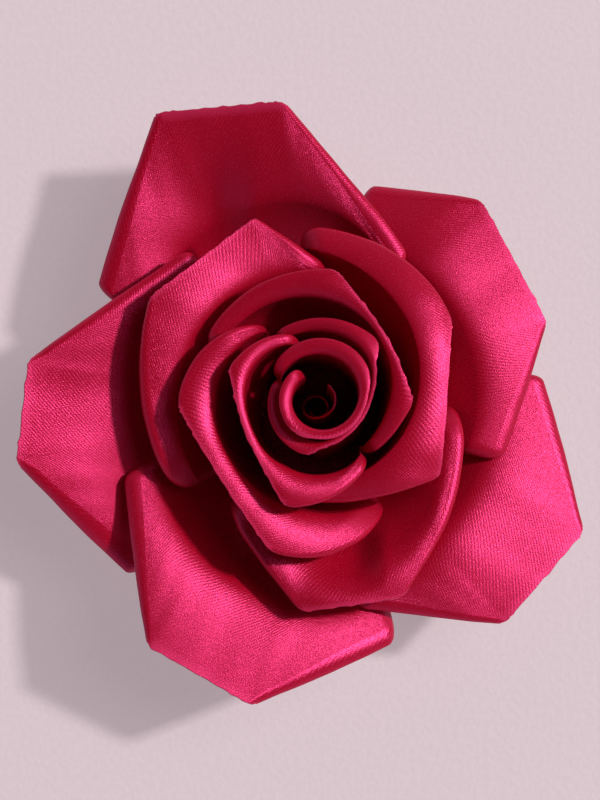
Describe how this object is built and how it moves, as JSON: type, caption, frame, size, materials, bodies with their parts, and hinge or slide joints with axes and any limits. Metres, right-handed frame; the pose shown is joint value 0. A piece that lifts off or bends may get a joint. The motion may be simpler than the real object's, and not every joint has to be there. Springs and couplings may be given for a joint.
{
  "type": "flower hair clip",
  "caption": "Satin rose of rolled-corner petals on a felt-backed, sprung steel hair clip whose toothed lower jaw opens on a rivet.",
  "frame": {"origin": "on the flat underside of the closed lower jaw, below the flower's axis", "axes": "+Z out of the flower's face, -X towards the clip's tip, +X towards its handles, +Y along the hinge rivet"},
  "size_m": [0.0986, 0.1052, 0.043],
  "materials": {
    "satin": "crimson satin weave with a soft sheen",
    "buckram": "stiffened matt cloth",
    "felt": "matt felt",
    "hot_glue": "milky, smooth",
    "steel": "bright plated pressing"
  },
  "bodies": {
    "flower": {"bud_core": "satin", "bud_petal": "satin", "inner_petal_1": "satin", "inner_petal_2": "satin", "inner_petal_3": "satin", "middle_petal_1": "satin", "middle_petal_2": "satin", "middle_petal_3": "satin", "middle_petal_4": "satin", "outer_petal_1": "satin", "outer_petal_2": "satin", "outer_petal_3": "satin", "outer_petal_4": "satin", "outer_petal_5": "satin", "petal_base": "buckram", "backing_felt": "felt", "glue_pad": "hot_glue", "clip_upper_arm": "steel", "hinge_pin": "steel", "torsion_spring": "steel"},
    "lower_jaw": {"clip_lower_jaw": "steel"}
  },
  "joints": [
    {"name": "jaw_hinge", "type": "hinge", "parent": "flower", "child": "lower_jaw", "pos_m": [0.02, 0, 0.00295], "axis": [0, -1, 0], "range_deg": [0, 20], "stiffness_Nm_per_rad": 0.06, "springref_deg": -14.32, "deforming": ["torsion_spring"]}
  ]
}
